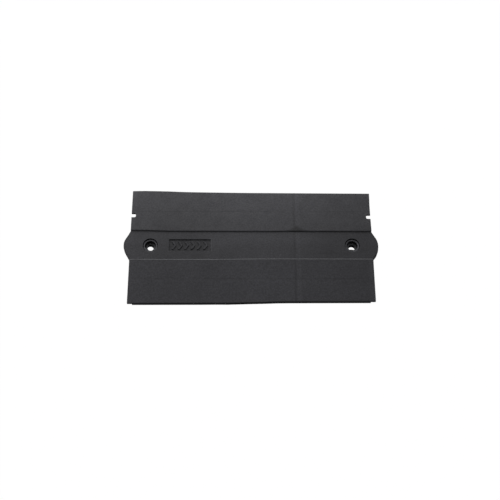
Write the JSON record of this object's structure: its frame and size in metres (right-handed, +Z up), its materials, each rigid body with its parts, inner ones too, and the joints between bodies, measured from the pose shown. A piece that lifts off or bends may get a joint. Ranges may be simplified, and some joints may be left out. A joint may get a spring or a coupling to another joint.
{
  "type": "rubber speed bump section",
  "caption": "Low modular rubber speed bump section with two shallow ramps, a sunken centre band, stepped fixing holes and rounded joint tongues.",
  "frame": {"origin": "on the ground, at the centre of the section", "axes": "+X along the bump, towards the end without the marking panel; +Y across the bump, towards the ramp whose end flanges are notched; +Z up from the road"},
  "size_m": [0.5252, 0.25, 0.02],
  "materials": {
    "rubber": "satin, very dark grey moulded rubber with a fine grain",
    "steel": "dull, dark phosphated steel"
  },
  "bodies": {
    "root": {"rubber_body": "rubber", "left_seat_washer": "steel", "right_seat_washer": "steel"}
  },
  "joints": []
}
